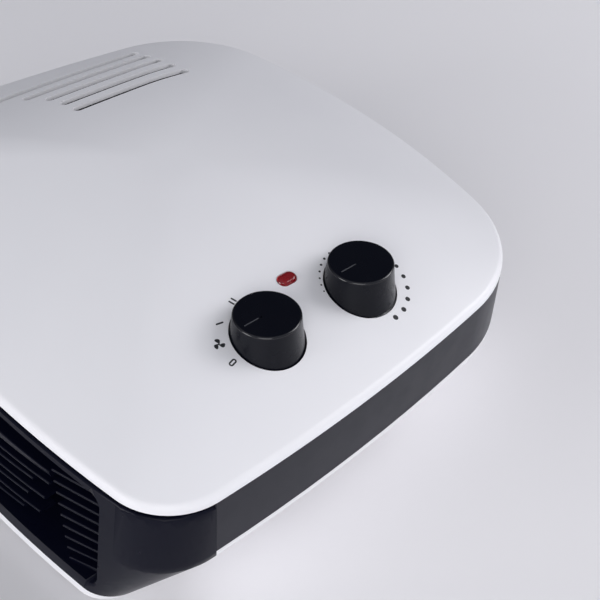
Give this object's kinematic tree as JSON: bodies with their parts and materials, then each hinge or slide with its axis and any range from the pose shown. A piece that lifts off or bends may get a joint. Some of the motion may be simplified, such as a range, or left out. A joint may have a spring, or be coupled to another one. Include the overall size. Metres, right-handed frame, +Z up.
{
  "type": "ceramic fan heater",
  "caption": "Low rounded floor fan heater with a domed cover, two knobs and a slatted front grille.",
  "frame": {"origin": "on the floor under the middle of the heater's bounding box", "axes": "+Z up, the grille faces -Y, the knobs are on the +X side"},
  "size_m": [0.3286, 0.296, 0.1202],
  "materials": {
    "white_plastic": "satin white moulded plastic",
    "charcoal_plastic": "satin charcoal moulded plastic",
    "black_plastic": "black moulded plastic with a soft sheen",
    "switch_plastic": "black heat-resistant moulded plastic",
    "frame_plastic": "black glass-filled plastic",
    "duct_plastic": "grey moulded plastic",
    "wheel_plastic": "dark glass-filled plastic",
    "block_plastic": "cream moulded plastic",
    "steatite": "unglazed off-white ceramic",
    "aluminium": "plain aluminium",
    "steel": "plated steel",
    "rotor_metal": "turned steel laminations",
    "lamination": "stacked steel sheets",
    "brass": "plain brass",
    "leaf_brass": "rolled spring brass",
    "coil_copper": "enamelled copper winding",
    "rubber": "matt black rubber",
    "red_lens": "clear red plastic lens",
    "clear_glass": "small glass tube"
  },
  "bodies": {
    "case": {"top_shell": "white_plastic", "side_belt": "charcoal_plastic", "bottom_tray": "white_plastic", "front_grille": "black_plastic", "intake_screen": "black_plastic", "function_switch": "switch_plastic", "switch_tabs": "brass", "thermostat_body": "steatite", "thermostat_leaves": "leaf_brass", "thermostat_tabs": "brass", "control_screws": "steel", "lamp_lens": "red_lens", "neon_lamp": "clear_glass", "lamp_holder": "switch_plastic", "heater_frame": "frame_plastic", "heating_tubes": "aluminium", "ceramic_stones": "steatite", "heater_fins": "aluminium", "heater_terminals": "steel", "thermal_cutout": "switch_plastic", "thermal_fuse": "steel", "air_duct": "duct_plastic", "scroll_housing": "duct_plastic", "scroll_cover": "duct_plastic", "motor_core": "lamination", "motor_coil": "coil_copper", "motor_bridges": "steel", "motor_grommets": "rubber", "motor_screws": "steel", "case_screws": "steel", "rubber_feet": "rubber", "cord_gland": "black_plastic", "gland_nut": "black_plastic", "terminal_block": "block_plastic", "terminal_screws": "brass"},
    "function_knob": {"function_knob": "charcoal_plastic", "function_shaft": "steel"},
    "thermostat_knob": {"thermostat_knob": "charcoal_plastic", "thermostat_shaft": "steel"},
    "fan": {"fan_wheel": "wheel_plastic", "motor_rotor": "rotor_metal", "motor_shaft": "steel"}
  },
  "joints": [
    {"name": "function_turn", "type": "hinge", "parent": "case", "child": "function_knob", "pos_m": [0.1155, -0.02835, 0.1], "axis": [0, 0, 1], "range_deg": [-86, 0]},
    {"name": "thermostat_turn", "type": "hinge", "parent": "case", "child": "thermostat_knob", "pos_m": [0.1155, 0.02935, 0.1], "axis": [0, 0, 1], "range_deg": [-270, 0]},
    {"name": "fan_spin", "type": "hinge", "parent": "case", "child": "fan", "pos_m": [-0.005, 0.046, 0.06], "axis": [0, 0, 1], "continuous": true}
  ]
}
